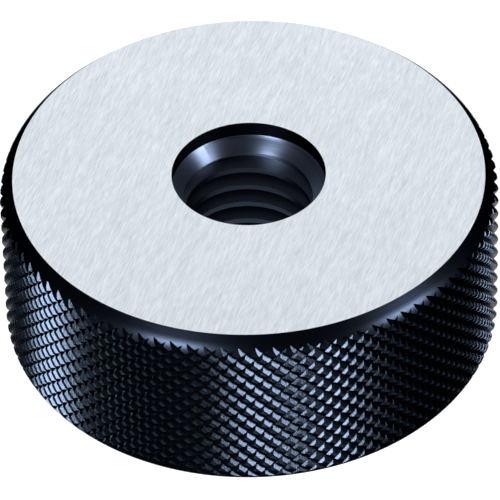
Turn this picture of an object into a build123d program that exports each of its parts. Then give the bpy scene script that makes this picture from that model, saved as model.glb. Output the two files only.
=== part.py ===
from build123d import *
from build123d.topology import SkipClean
import math
import os

# Thread ring gauge for an M10 x 1.5 screw: one hardened steel ring, diamond-knurled
# outside, threaded right through inside and ground on both faces.
# The ring stands on its lower face at z = 0 and its axis is +Z. Both ends are alike.

# ---- ring ----
face_diameter = 31.0        # ground face, up to the sharp edge of the outer chamfer
thickness = 12.7            # over the two ground faces

# ---- diamond knurl, which runs out at both ends through a 45 degree chamfer ----
knurl_diameter = 32.8       # over the points of the diamonds
knurl_depth = 0.35          # from a point down to the crossing of two grooves
knurl_teeth = 91            # diamonds in one row round the ring
row_step = 0.57             # along the axis; neighbouring rows sit half a tooth apart

# ---- thread M10 x 1.5, right hand ----
pitch = 1.5
major_diameter = 10.0
minor_diameter = 8.376
flank_angle = 30.0          # each flank, from the plane across the axis
root_flat = pitch / 8       # at the major diameter
land_below_top = 4.9        # top face to the middle of a land, on the +Y side
land_pieces = 4             # strips of bore wall in one turn

# ---- mouths of the bore ----
mouth_diameter = 10.1       # straight relief, just over the major diameter
mouth_depth = 1.05
sink_angle = 45.0           # countersink below it, down to the minor diameter

# ---- clearances of the cutting bodies ----
cut_margin = 1.0            # past the faces they cut away
thread_margin = 0.3         # thread cutter past the minor diameter
tiny = 1e-6                 # two points closer than this are one

face_r = face_diameter / 2
point_r = knurl_diameter / 2
root_r = point_r - knurl_depth
minor_r = minor_diameter / 2
major_r = major_diameter / 2
mouth_r = mouth_diameter / 2
half_teeth = 2 * knurl_teeth
half_tooth = 2 * math.pi / half_teeth

# the grooves cross just where they leave the top chamfer, one row above the first points
top_crossing = (root_r - face_r) * math.cos(half_tooth)
first_row = top_crossing + row_step
knurl_rows = math.ceil((thickness - first_row) / row_step)


# ---- outside of the ring ----
# All directions round the ring are counted in half teeth. On every level of the knurl
# the points of the diamonds and the crossings of the grooves alternate.
def at(radius, step, z):
    angle = (step % half_teeth) * half_tooth
    return Vector(radius * math.cos(angle), radius * math.sin(angle), z)


def knurl_at(step, row):
    """Corner of the knurl, row 0 being the first row of points under the top face."""
    is_point = (step + row) % 2 == 0
    return at(point_r if is_point else root_r, step, thickness - first_row - row * row_step)


def knurl_flanks(step):
    """Between two levels, the square over each half tooth is folded along the groove
    bottom that runs from crossing to crossing: one flank each of two diamonds."""
    flanks = []
    for row in range(-1, knurl_rows):
        a, b = knurl_at(step, row), knurl_at(step + 1, row)
        c, d = knurl_at(step, row + 1), knurl_at(step + 1, row + 1)
        if (step + row) % 2 == 0:
            flanks += [[a, c, b], [d, b, c]]
        else:
            flanks += [[b, a, d], [c, d, a]]
    return flanks


def trim(flank, tooth, end):
    """Cuts a flank off at the chamfer, which is flat over each tooth. Returns what is
    left of the flank and the points it shares with the edge of the chamfer."""
    outward = at(1, tooth + 1, 0)
    rim = at(face_r, tooth, thickness if end > 0 else 0)
    over = [end * (p - rim).Z + (p - rim).dot(outward) for p in flank]
    over = [0 if abs(height) < tiny else height for height in over]
    kept, edge = [], []
    for n, p in enumerate(flank):
        q, here, there = flank[n - 1], over[n], over[n - 1]
        if here * there < 0:
            edge.append(p + (q - p) * (here / (here - there)))
            kept.append(edge[-1])
        if here <= 0:
            kept.append(p)
        if here == 0:
            edge.append(p)
    return kept, edge


def flat(*corners):
    return Face(Wire.make_polygon(corners, close=True))


def tooth_skin(tooth):
    """The flanks over one tooth with the chamfers at their two ends."""
    flanks = knurl_flanks(tooth) + knurl_flanks(tooth + 1)
    across = at(1, tooth + 1 + half_teeth / 4, 0)
    chamfers = []
    for end in (1, -1):
        trimmed = [trim(flank, tooth, end) for flank in flanks]
        flanks = [kept for kept, edge in trimmed if len(kept) > 2]
        rim = [at(face_r, step, thickness if end > 0 else 0) for step in (tooth, tooth + 2)]
        edge = {round(p.dot(across), 5): p for kept, points in trimmed for p in points}
        chamfers.append(flat(rim[0], *[edge[place] for place in sorted(edge)], rim[1]))
    return [flat(*flank) for flank in flanks] + chamfers


teeth = range(0, half_teeth, 2)
skin = [face for tooth in teeth for face in tooth_skin(tooth)]
skin += [flat(*[at(face_r, tooth, z) for tooth in teeth]) for z in (0, thickness)]
knurled_blank = Solid(Shell(skin))


# ---- bore, mouths and thread ----
def bore_quarters():
    """The bore at the minor diameter, as equal wedges of a cylinder. They leave a wall in
    strips, which keeps each piece of the helical land short."""
    arc = 360 / land_pieces
    wedge = Solid.make_cylinder(minor_r, thickness + 2 * cut_margin, angle=arc)
    return [Pos(0, 0, -cut_margin) * Rot(0, 0, n * arc) * wedge for n in range(land_pieces)]


def turned(outline):
    section = flat(*[Vector(r, 0, z) for r, z in outline])
    return revolve(section, axis=Axis.Z)


def mouth_cutter():
    """Top mouth of the bore: straight relief over a countersink that runs to its tip."""
    tip_z = thickness - mouth_depth - mouth_r / math.tan(math.radians(sink_angle))
    return turned([(0, tip_z), (mouth_r, thickness - mouth_depth),
                   (mouth_r, thickness + cut_margin), (0, thickness + cut_margin)])


def thread_turns():
    """One turn of the groove between two lands, repeated up the bore. The first and the
    last turn lie outside the ring, so the thread runs out through both countersinks."""
    inner_r = minor_r - thread_margin
    half_open = root_flat / 2 + (major_r - inner_r) * math.tan(math.radians(flank_angle))
    section = flat(Vector(inner_r, 0, -half_open), Vector(major_r, 0, -root_flat / 2),
                   Vector(major_r, 0, root_flat / 2), Vector(inner_r, 0, half_open))
    turn = sweep(section, path=Helix(pitch, pitch, minor_r), is_frenet=True)
    # the turn starts on +X, a quarter turn before the land that was measured on +Y, and
    # the middle of a groove is half a pitch from the middle of a land
    groove_z = thickness - land_below_top - pitch / 2 - pitch / 4
    below = math.ceil((groove_z + pitch) / pitch)
    above = math.ceil((thickness - groove_z) / pitch)
    return [Pos(0, 0, groove_z + n * pitch) * turn for n in range(-below, above)]


top_mouth = mouth_cutter()
bottom_mouth = top_mouth.mirror(Plane.XY.offset(thickness / 2))

# without cleaning, which would join the strips of the bore wall again
with SkipClean():
    bored = knurled_blank.cut(*bore_quarters())
    countersunk = bored.cut(top_mouth, bottom_mouth)
    gauge_ring = countersunk.cut(*thread_turns())

os.makedirs("parts", exist_ok=True)
export_step(gauge_ring, "parts/gauge_ring.step")
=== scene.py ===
import math

import bmesh
import bpy
from mathutils import Matrix, Vector


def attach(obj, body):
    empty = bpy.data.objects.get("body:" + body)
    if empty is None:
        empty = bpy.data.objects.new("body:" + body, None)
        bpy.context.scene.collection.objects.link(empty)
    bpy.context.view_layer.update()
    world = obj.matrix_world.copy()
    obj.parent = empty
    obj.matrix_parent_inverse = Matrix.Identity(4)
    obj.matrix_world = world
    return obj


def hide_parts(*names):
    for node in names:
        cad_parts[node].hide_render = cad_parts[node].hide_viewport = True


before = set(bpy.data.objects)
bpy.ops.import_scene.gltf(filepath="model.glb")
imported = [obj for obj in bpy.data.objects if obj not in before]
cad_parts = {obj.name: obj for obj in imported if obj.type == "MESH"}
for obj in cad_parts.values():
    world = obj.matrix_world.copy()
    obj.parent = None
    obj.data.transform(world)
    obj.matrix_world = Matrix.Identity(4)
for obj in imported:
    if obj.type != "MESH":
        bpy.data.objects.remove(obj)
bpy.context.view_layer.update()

# ------------------------------------------------------------------ camera
# A long lens looks down on the ring from the front. The whole rig is turned a
# little about the axis, so that the columns of the knurl stand as they should.
MM = 0.001
RIG_TURN = math.radians(-1.36)
CAMERA_PLACE = (0.0, -318.28 * MM, 294.52 * MM)
CAMERA_AIM = (-0.033 * MM, 0.0, 5.935 * MM)
CAMERA_ROLL = math.radians(-1.376)
LENS = 466.9


def in_rig(point):
    return Matrix.Rotation(RIG_TURN, 3, "Z") @ Vector(point)


def look(obj, place, aim, roll=0.0):
    obj.location = in_rig(place)
    turn = (in_rig(aim) - in_rig(place)).to_track_quat("-Z", "Y")
    obj.rotation_euler = (turn.to_matrix() @ Matrix.Rotation(roll, 3, "Z")).to_euler()


camera_data = bpy.data.cameras.new("camera")
camera_data.lens = LENS
camera_data.clip_start = 0.02
camera_data.clip_end = 20.0
camera = bpy.data.objects.new("camera", camera_data)
bpy.context.scene.collection.objects.link(camera)
look(camera, CAMERA_PLACE, CAMERA_AIM, CAMERA_ROLL)
bpy.context.scene.camera = camera

# ------------------------------------------------------------------ knurled bar
# A bar of tool steel, knurled crosswise by two sets of V-grooves, which leave rows
# of four-sided diamonds with blunt points. It is laid out flat, facing -Y, and then
# bent into a tube and closed at both ends.
TOP = 12.7                  # all sizes in mm
KNURL_R = 16.39
TEETH = 91
ROWS = 22                   # the first and the last row are turned away again
ROW_STEP = 0.57
FIRST_ROW = 0.55            # face to the points of the first row
KNURL_DEPTH = 0.30          # down to the bottoms of the deeper grooves
SHALLOW_BY = 0.09           # the other grooves are this much shallower
ROOT_STRIP = 0.018          # half the flat bottom of a groove
CROWN = 0.13                # rounded slope between a blunt point and the flanks
CROWN_DROP = 0.07
POINT_LAND = 0.035          # from the middle of a blunt point to its sides
BAR_SPARE = 1.5             # bar past the finished faces

TOOTH = 2 * math.pi * KNURL_R / TEETH
QUARTER_TOOTH = math.pi / 2 / TEETH
RIDGE_TURN = math.atan2(ROW_STEP, TOOTH / 2)
SIDE = TOOTH / 2 * ROW_STEP / math.hypot(TOOTH / 2, ROW_STEP)   # middle of a diamond to a side
FLANK = SIDE - ROOT_STRIP - CROWN - POINT_LAND
FLANK_HEIGHT = KNURL_DEPTH - CROWN_DROP
MEETING = SHALLOW_BY * FLANK / FLANK_HEIGHT     # from a deep groove up to a shallow one
WELD = 0.001                # corners closer than this are one


def colour(code):
    """An sRGB hex colour as linear values."""
    parts = [int(code[i:i + 2], 16) / 255 for i in (1, 3, 5)]
    return tuple(p / 12.92 if p <= 0.04045 else ((p + 0.055) / 1.055) ** 2.4
                 for p in parts) + (1.0,)


def add(tree, kind, links=None, **settings):
    """Adds a node, sets its properties and sets or links its inputs."""
    node = tree.nodes.new("ShaderNode" + kind)
    for key, value in settings.items():
        setattr(node, key, value)
    for key, value in (links or {}).items():
        if isinstance(value, bpy.types.NodeSocket):
            tree.links.new(value, node.inputs[key])
        else:
            node.inputs[key].default_value = value
    return node


def finish_named(name):
    material = bpy.data.materials.new(name)
    material.use_nodes = True
    return material, material.node_tree, material.node_tree.nodes["Principled BSDF"]


# Black oxide over knurled steel: blue-black, glossy on the flanks, grainy from the
# cutting, and rubbed to a greyer black on the blunt points that the hand touches. The
# dark tint keeps it black where it is seen edge on.
knurled, tree, shader = finish_named("black_oxide_knurled_steel")
place = add(tree, "TexCoord").outputs["Object"]
grain = add(tree, "TexNoise", {"Vector": place, "Scale": 1 / (0.09 * MM), "Detail": 3.0})
across = add(tree, "VectorMath", {0: place, 1: (1, 1, 0)}, operation="MULTIPLY")
radius = add(tree, "VectorMath", {0: across.outputs[0]}, operation="LENGTH")
worn = add(tree, "MapRange", {"Value": radius.outputs["Value"],
                              "From Min": (KNURL_R - 0.06) * MM,
                              "From Max": (KNURL_R + 0.01) * MM,
                              "To Min": 0.0, "To Max": 1.0})
skin = add(tree, "Mix", {"Factor": worn.outputs[0], "A": colour("#0F1319"),
                         "B": colour("#20262F")}, data_type="RGBA")
tree.links.new(skin.outputs["Result"], shader.inputs["Base Color"])
bump = add(tree, "Bump", {"Height": grain.outputs["Fac"], "Strength": 0.8,
                          "Distance": 0.012 * MM})
tree.links.new(bump.outputs["Normal"], shader.inputs["Normal"])
shader.inputs["Metallic"].default_value = 1.0
shader.inputs["Specular Tint"].default_value = colour("#5A6370")
shader.inputs["Roughness"].default_value = 0.2


def none_selected():
    if bpy.context.object and bpy.context.object.mode != "OBJECT":
        bpy.ops.object.mode_set(mode="OBJECT")
    bpy.ops.object.select_all(action="DESELECT")


def edit(obj):
    none_selected()
    bpy.context.view_layer.objects.active = obj
    obj.select_set(True)
    bpy.ops.object.mode_set(mode="EDIT")


def pick(obj, kind, wanted):
    """Selects, in edit mode, the verts, edges or faces that are wanted and nothing else."""
    bpy.ops.mesh.select_mode(type={"verts": "VERT", "edges": "EDGE", "faces": "FACE"}[kind])
    bpy.ops.mesh.select_all(action="DESELECT")
    shape = bmesh.from_edit_mesh(obj.data)
    for item in getattr(shape, kind):
        if wanted(item):
            item.select_set(True)
    shape.select_flush_mode()
    bmesh.update_edit_mesh(obj.data)


def modify(obj, kind, **settings):
    none_selected()
    bpy.context.view_layer.objects.active = obj
    obj.select_set(True)
    modifier = obj.modifiers.new(kind, kind)
    for key, value in settings.items():
        setattr(modifier, key, value)
    bpy.ops.object.modifier_apply(modifier=modifier.name)


def repeat(obj, count, step):
    modify(obj, "ARRAY", count=count, use_relative_offset=False, use_constant_offset=True,
           constant_offset_displace=[s * MM for s in step],
           use_merge_vertices=True, merge_threshold=WELD * MM)


def off_centre(v, x, z):
    """True for a corner beside both centre lines of the diamond, so for an added one."""
    return min(abs(v.co.x / MM - x), abs(v.co.z / MM - z)) > 2 * ROOT_STRIP


def stretch(along_deep, along_shallow, centre):
    """Scales what is selected along the two sets of grooves."""
    bpy.ops.transform.rotate(value=RIDGE_TURN, orient_axis="Y", center_override=centre)
    bpy.ops.transform.resize(value=(along_deep, 1, along_shallow), center_override=centre)
    bpy.ops.transform.rotate(value=-RIDGE_TURN, orient_axis="Y", center_override=centre)


def knurl_column(name, x, z, count):
    """One diamond, repeated up the bar on every other row."""
    none_selected()
    bpy.ops.mesh.primitive_circle_add(vertices=4, radius=1.0, fill_type="NGON",
                                      rotation=(math.pi / 2, 0, 0),
                                      location=(x * MM, KNURL_DEPTH * MM, z * MM))
    column = bpy.context.object
    column.name = name
    column.data.materials.append(knurled)
    column.scale = (TOOTH / 2 * MM, ROW_STEP * MM, 1)
    bpy.ops.object.transform_apply(location=True, rotation=True, scale=True)
    edit(column)
    bpy.ops.mesh.select_all(action="SELECT")
    bpy.ops.mesh.inset(thickness=ROOT_STRIP * MM, depth=0)
    bpy.ops.mesh.inset(thickness=FLANK * MM, depth=FLANK_HEIGHT * MM)
    bpy.ops.mesh.inset(thickness=CROWN * MM, depth=CROWN_DROP * MM)

    # two more corners on every side along a shallow groove, where it meets the deep ones
    pick(column, "edges", lambda e: (e.verts[0].co.x - e.verts[1].co.x) *
         (e.verts[0].co.z - e.verts[1].co.z) > WELD * MM * MM)
    bpy.ops.mesh.subdivide(number_cuts=2)
    for level, half, gap in ((KNURL_DEPTH, SIDE, ROOT_STRIP + MEETING),
                             (CROWN_DROP, CROWN + POINT_LAND, ROOT_STRIP)):
        for hand in (1, -1):
            pick(column, "verts", lambda v: abs(v.co.y / MM - level) < WELD and
                 off_centre(v, x, z) and (v.co.x / MM - x) * hand > 0)
            share = hand * half / SIDE / 2
            stretch(1, 3 - 3 * gap / half,
                    ((x + TOOTH / 2 * share) * MM, level * MM, (z - ROW_STEP * share) * MM))
    pick(column, "verts", lambda v: v.co.y > (KNURL_DEPTH - WELD) * MM and off_centre(v, x, z))
    bpy.ops.transform.translate(value=(0, -SHALLOW_BY * MM, 0))

    # which leaves the blunt point as a short ridge between the deep grooves
    for level, half in ((0, POINT_LAND), (CROWN_DROP, POINT_LAND + CROWN)):
        pick(column, "verts", lambda v: abs(v.co.y / MM - level) < WELD)
        stretch(1 + MEETING / half, 1, (x * MM, 0, z * MM))
    repeat(column, count, (0, 0, 2 * ROW_STEP))
    return column


LOWEST = TOP - FIRST_ROW - (ROWS - 1) * ROW_STEP
body = knurl_column("gauge_ring_steel", TOOTH / 2, LOWEST, ROWS // 2)
between = knurl_column("knurl_between", TOOTH, LOWEST + ROW_STEP, ROWS // 2)
none_selected()
between.select_set(True)
body.select_set(True)
bpy.context.view_layer.objects.active = body
bpy.ops.object.join()
repeat(body, TEETH, (TOOTH, 0, 0))
modify(body, "SIMPLE_DEFORM", deform_method="BEND", deform_axis="Z",
       angle=2 * math.pi * (TEETH + 0.5) / TEETH)
edit(body)
bpy.ops.mesh.select_all(action="SELECT")
bpy.ops.transform.translate(value=(0, -KNURL_R * MM, 0))
bpy.ops.transform.rotate(value=-QUARTER_TOOTH, orient_axis="Z", center_override=(0, 0, 0))
bpy.ops.mesh.remove_doubles(threshold=WELD * MM)
for end_z in (TOP + BAR_SPARE, -BAR_SPARE):
    pick(body, "edges", lambda e: e.is_boundary and
         (e.verts[0].co.z / MM - TOP / 2) * (end_z - TOP / 2) > 0)
    bpy.ops.mesh.extrude_region()
    bpy.ops.transform.resize(value=(1, 1, 0), center_override=(0, 0, end_z * MM))
    bpy.ops.mesh.edge_face_add()
bpy.ops.mesh.select_all(action="SELECT")
bpy.ops.mesh.normals_make_consistent(inside=False)

# ------------------------------------------------------------------ turned shape
# What the lathe leaves of the bar: two faces, round-shouldered chamfers that cut into
# the knurl, and a bore with straight mouths over cones. It is cut out of the bar, and
# the steel is then blackened and ground on its faces and in its bore.
FACE_R = 15.5
CLEAR_R = 17.0              # outside the knurl
CHAMFER = 0.37              # straight part of the chamfer, 45 degrees
SHOULDER_R = 1.76           # its round shoulder
SHOULDER_STEPS = 9
MOUTH_R = 5.05
MOUTH_BREAK = 0.015         # edge taken off where the mouth meets the face
MOUTH_DEPTH = 1.05
MINOR_R = 4.188
TURNED_SIDES = 364
FACING = 0.9                # a side whose normal stands up past this is a ground face


def streaks(tree, place, turn, length, width, detail=3.0):
    """Noise drawn out along one direction, with its length and width in mm."""
    along = add(tree, "Mapping", {"Vector": place, "Rotation": (0, 0, turn),
                                  "Scale": (length * MM, width * MM, length * MM)},
                vector_type="TEXTURE")
    return add(tree, "TexNoise", {"Vector": along.outputs[0], "Scale": 1.0, "Detail": detail,
                                  "Roughness": 0.6}).outputs["Fac"]


# Surface-ground tool steel: bright, slightly blue, with straight grinding marks that
# all run one way and cross a little. Real marks are 0.02 mm wide; these are drawn
# 0.05 mm wide, so that they show.
GRIND_TURN = math.radians(66.14)
ground, tree, shader = finish_named("surface_ground_tool_steel")
place = add(tree, "TexCoord").outputs["Object"]
fine = streaks(tree, place, GRIND_TURN, 0.8, 0.045, 4.0)
crossing = streaks(tree, place, GRIND_TURN + math.radians(6), 1.1, 0.07)
broad = streaks(tree, place, GRIND_TURN - math.radians(3), 4.0, 0.5, 2.0)
marks = add(tree, "Mix", {"Factor": 0.45, "A": fine, "B": crossing}, data_type="FLOAT")
marks = add(tree, "Mix", {"Factor": 0.15, "A": marks.outputs["Result"], "B": broad},
            data_type="FLOAT")
tone = add(tree, "ValToRGB", {"Fac": marks.outputs["Result"]})
tone.color_ramp.elements[0].position = 0.36
tone.color_ramp.elements[0].color = colour("#BFC9D3")
tone.color_ramp.elements[1].position = 0.64
tone.color_ramp.elements[1].color = colour("#EEF3F9")
tree.links.new(tone.outputs["Color"], shader.inputs["Base Color"])
bump = add(tree, "Bump", {"Height": fine, "Strength": 0.25, "Distance": 0.004 * MM})
tree.links.new(bump.outputs["Normal"], shader.inputs["Normal"])
shader.inputs["Metallic"].default_value = 1.0
shader.inputs["Roughness"].default_value = 0.34


def marked_round(name, length, width, height, tone, roughness, drawn_out):
    """Steel with fine marks round the axis, given in mm. They draw its highlights out."""
    finish, tree, shader = finish_named(name)
    place = add(tree, "TexCoord").outputs["Object"]
    marks = add(tree, "Mapping", {"Vector": place, "Scale": (length * MM, length * MM, width * MM)},
                vector_type="TEXTURE")
    marks = add(tree, "TexNoise", {"Vector": marks.outputs[0], "Scale": 1.0, "Detail": 3.0})
    bump = add(tree, "Bump", {"Height": marks.outputs["Fac"], "Strength": 0.5,
                              "Distance": height * MM})
    tree.links.new(bump.outputs["Normal"], shader.inputs["Normal"])
    around = add(tree, "VectorMath", {0: place, 1: (0, 0, 1)}, operation="CROSS_PRODUCT")
    tree.links.new(around.outputs[0], shader.inputs["Tangent"])
    shader.inputs["Base Color"].default_value = colour(tone)
    shader.inputs["Metallic"].default_value = 1.0
    shader.inputs["Roughness"].default_value = roughness
    shader.inputs["Anisotropic"].default_value = drawn_out
    shader.inputs["Anisotropic Rotation"].default_value = 0.25
    return finish, shader


# The same oxide over turned steel: blue-black and satin, with the lathe's fine rings.
# The dark tint keeps it black where it is seen edge on.
turned, shader = marked_round("black_oxide_turned_steel", 9, 0.05, 0.008, "#0E1219", 0.3, 0.5)
shader.inputs["Specular Tint"].default_value = colour("#4A525E")

# Ground bore: bare steel, darker and bluer than the faces, with marks that run round it.
bore, shader = marked_round("ground_bore_steel", 4, 0.06, 0.012, "#465063", 0.37, 0.8)

ENDS = {1: TOP, -1: 0.0}


def grow(obj, radius_from, radius, depth, end):
    """Extrudes the picked edge loop to a new radius, at a depth under its face."""
    z = ENDS[end] - end * depth
    bpy.ops.mesh.extrude_region()
    bpy.ops.transform.resize(value=(radius / radius_from, radius / radius_from, 0),
                             center_override=(0, 0, z * MM))


shoulder = []
for n in range(SHOULDER_STEPS + 1):
    tilt = math.radians(45) * n / SHOULDER_STEPS
    shoulder.append((FACE_R + CHAMFER + SHOULDER_R * (math.cos(tilt) - math.cos(math.pi / 4)),
                     CHAMFER + SHOULDER_R * (math.sin(math.pi / 4) - math.sin(tilt))))
steps = [(CLEAR_R, shoulder[0][1])] + shoulder
steps += [(FACE_R, 0.0), (MOUTH_R + MOUTH_BREAK, 0.0), (MOUTH_R, MOUTH_BREAK),
          (MOUTH_R, MOUTH_DEPTH), (MINOR_R, MOUTH_DEPTH + MOUTH_R - MINOR_R)]

none_selected()
bpy.ops.mesh.primitive_circle_add(vertices=TURNED_SIDES, radius=CLEAR_R * MM)
turned_shape = bpy.context.object
turned_shape.name = "turned_shape"
edit(turned_shape)
bpy.ops.mesh.select_all(action="SELECT")
bpy.ops.transform.resize(value=(1, 1, 0), center_override=(0, 0, TOP / 2 * MM))
for end in ENDS:
    pick(turned_shape, "edges", lambda e: all(abs(v.co.z / MM - TOP / 2) < WELD
                                              for v in e.verts))
    radius_from = CLEAR_R
    for radius, depth in steps:
        grow(turned_shape, radius_from, radius, depth, end)
        radius_from = radius
pick(turned_shape, "edges", lambda e: e.is_boundary)
bpy.ops.mesh.bridge_edge_loops()
bpy.ops.mesh.select_all(action="SELECT")
bpy.ops.mesh.normals_make_consistent(inside=False)
none_selected()
finishes = [turned, bore, ground]
for finish in finishes:
    turned_shape.data.materials.append(finish)
for face in turned_shape.data.polygons:
    if abs(face.normal.z) > FACING:
        face.material_index = finishes.index(ground)
    elif math.hypot(*face.center.xy) < (MOUTH_R - WELD) * MM:
        face.material_index = finishes.index(bore)
modify(body, "BOOLEAN", operation="INTERSECT", solver="EXACT", material_mode="TRANSFER",
       object=turned_shape)
bpy.data.objects.remove(turned_shape)

# ------------------------------------------------------------------ thread
# M10 x 1.5, right hand, ground into the bore: one closed coil of the groove's
# section, run up through both countersinks and then cut out of the ring.
PITCH = 1.5
MAJOR_R = 5.0
ROOT_FLAT = PITCH / 8
COIL_R = MINOR_R - 0.3      # the coil's inner side stands clear inside the bore
LAND_BELOW_TOP = 4.9        # the middle of a land, on the +Y side
TURNS_BELOW = 5             # the coil starts on +X, this far below that land's groove
COIL_START = TOP - LAND_BELOW_TOP - PITCH / 2 - PITCH / 4 - TURNS_BELOW * PITCH
TURNS = 9
TURN_STEPS = 120
FLANK_ANGLE = math.radians(30)
half_open = ROOT_FLAT / 2 + (MAJOR_R - COIL_R) * math.tan(FLANK_ANGLE)

none_selected()
bpy.ops.mesh.primitive_plane_add(size=1.0, rotation=(math.pi / 2, 0, 0))
coil = bpy.context.object
coil.name = "thread_coil"
coil.scale = ((MAJOR_R - COIL_R) * MM, 2 * half_open * MM, 1)
coil.location = ((MAJOR_R + COIL_R) / 2 * MM, 0, COIL_START * MM)
bpy.ops.object.transform_apply(location=True, rotation=True, scale=True)
edit(coil)
pick(coil, "verts", lambda v: v.co.x > MINOR_R * MM)
bpy.ops.transform.resize(value=(1, 1, ROOT_FLAT / 2 / half_open),
                         center_override=(0, 0, COIL_START * MM))
modify(coil, "SCREW", axis="Z", angle=2 * math.pi, screw_offset=PITCH * MM, iterations=TURNS,
       steps=TURN_STEPS, render_steps=TURN_STEPS, use_merge_vertices=True,
       merge_threshold=WELD * MM)
edit(coil)
bpy.ops.mesh.select_all(action="SELECT")
bpy.ops.mesh.remove_doubles(threshold=WELD * MM)
pick(coil, "edges", lambda e: e.is_boundary)
bpy.ops.mesh.fill_holes(sides=0)
bpy.ops.mesh.select_all(action="SELECT")
bpy.ops.mesh.normals_make_consistent(inside=False)
none_selected()
coil.data.materials.append(bore)
modify(body, "BOOLEAN", operation="DIFFERENCE", solver="EXACT", material_mode="TRANSFER",
       object=coil)
bpy.data.objects.remove(coil)

# the knurl keeps flat flanks, and everything turned is smooth up to its real edges
EDGE_FROM = math.radians(32)
bpy.ops.object.shade_smooth_by_angle(angle=EDGE_FROM)
knurled_slot = body.data.materials.find(knurled.name)
for face in body.data.polygons:
    if face.material_index == knurled_slot:
        face.use_smooth = False
modify(body, "WEIGHTED_NORMAL", keep_sharp=True, weight=100)

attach(body, "root")
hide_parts("gauge_ring")

# ------------------------------------------------------------------ studio
# A pale floor, a white surround, two soft boxes standing low at the front left and at
# the right, which light the flanks of the knurl, and a broad dim panel high behind it,
# which the ground face reflects. All of them are plain.
FLOOR_SIZE = 4.0
floor_paint, tree, shader = finish_named("matt_white_paint")
shader.inputs["Base Color"].default_value = colour("#F2F2F2")
shader.inputs["Roughness"].default_value = 0.9

# What the camera and mirroring surfaces see of the floor is nearly white. Diffuse
# light still bounces off plain paint.
path = add(tree, "LightPath")
seen = add(tree, "Math", {0: path.outputs["Is Camera Ray"], 1: path.outputs["Is Glossy Ray"]},
           operation="ADD")
seen = add(tree, "Math", {0: seen.outputs[0], 1: path.outputs["Is Transmission Ray"]},
           operation="ADD", use_clamp=True)
pale = add(tree, "BsdfDiffuse", {"Color": (0.3, 0.3, 0.3, 1)})
glow = add(tree, "Emission", {"Color": (1, 1, 1, 1), "Strength": 0.75})
shown = add(tree, "AddShader", {0: pale.outputs[0], 1: glow.outputs[0]})
mixed = add(tree, "MixShader", {0: seen.outputs[0], 1: shader.outputs[0], 2: shown.outputs[0]})
tree.links.new(mixed.outputs[0], tree.nodes["Material Output"].inputs["Surface"])

none_selected()
bpy.ops.mesh.primitive_plane_add(size=FLOOR_SIZE)
floor = bpy.context.object
floor.name = "floor"
floor.data.materials.append(floor_paint)

world = bpy.data.worlds.new("white_surround")
bpy.context.scene.world = world
world.use_nodes = True
tree = world.node_tree
tree.nodes["Background"].inputs["Color"].default_value = (1, 1, 1, 1)
tree.nodes["Background"].inputs["Strength"].default_value = 0.2


def soft_box(name, azimuth, elevation, wide, high, radiance, distance=0.9):
    """A soft box that faces the ring. Its width and height are angles seen from it."""
    data = bpy.data.lights.new(name, "AREA")
    data.shape = "RECTANGLE"
    data.size = 2 * distance * math.tan(math.radians(wide / 2))
    data.size_y = 2 * distance * math.tan(math.radians(high / 2))
    data.energy = radiance * math.pi * data.size * data.size_y
    box = bpy.data.objects.new(name, data)
    bpy.context.scene.collection.objects.link(box)
    a, e = math.radians(azimuth), math.radians(elevation)
    middle = Vector((0, 0, TOP / 2 * MM))
    place = Vector((math.cos(a) * math.cos(e), math.sin(a) * math.cos(e), math.sin(e)))
    look(box, middle + distance * place, middle)
    box.visible_camera = False


soft_box("left_box", -122, 15, 20, 14, 150)
soft_box("right_box", -24, 13, 20, 14, 130)
soft_box("high_panel", 90, 28, 70, 50, 0.95)

view = bpy.context.scene.view_settings
view.view_transform = "Standard"
